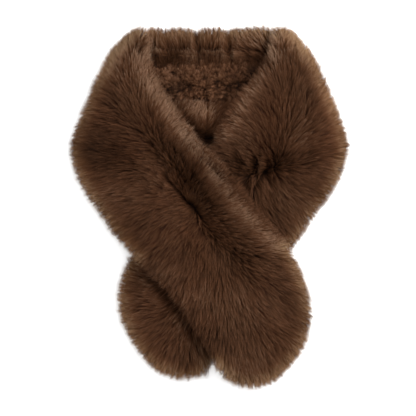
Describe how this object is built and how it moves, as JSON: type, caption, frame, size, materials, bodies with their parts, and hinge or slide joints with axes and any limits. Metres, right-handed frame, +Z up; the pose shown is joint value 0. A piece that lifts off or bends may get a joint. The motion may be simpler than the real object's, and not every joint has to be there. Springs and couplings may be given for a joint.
{
  "type": "fur collar wrap",
  "caption": "Brown long-pile fur collar wrap laid flat, folded at both shoulders, its rounded ends crossed in front and its short plush lining showing at the neck.",
  "frame": {"origin": "under the middle of the wrap's plan, on the surface that it lies on", "axes": "+Z up, +Y from the crossed ends towards the back of the neck, +X towards the right shoulder fold as seen from above"},
  "size_m": [0.3076, 0.399, 0.0521],
  "materials": {
    "fur": "soft long pile, dark at the roots and paler at the tips",
    "lining": "short clumped plush"
  },
  "bodies": {
    "root": {"fur_over": "fur", "fur_under": "fur", "fur_back": "fur", "lining_back": "lining"}
  },
  "joints": []
}
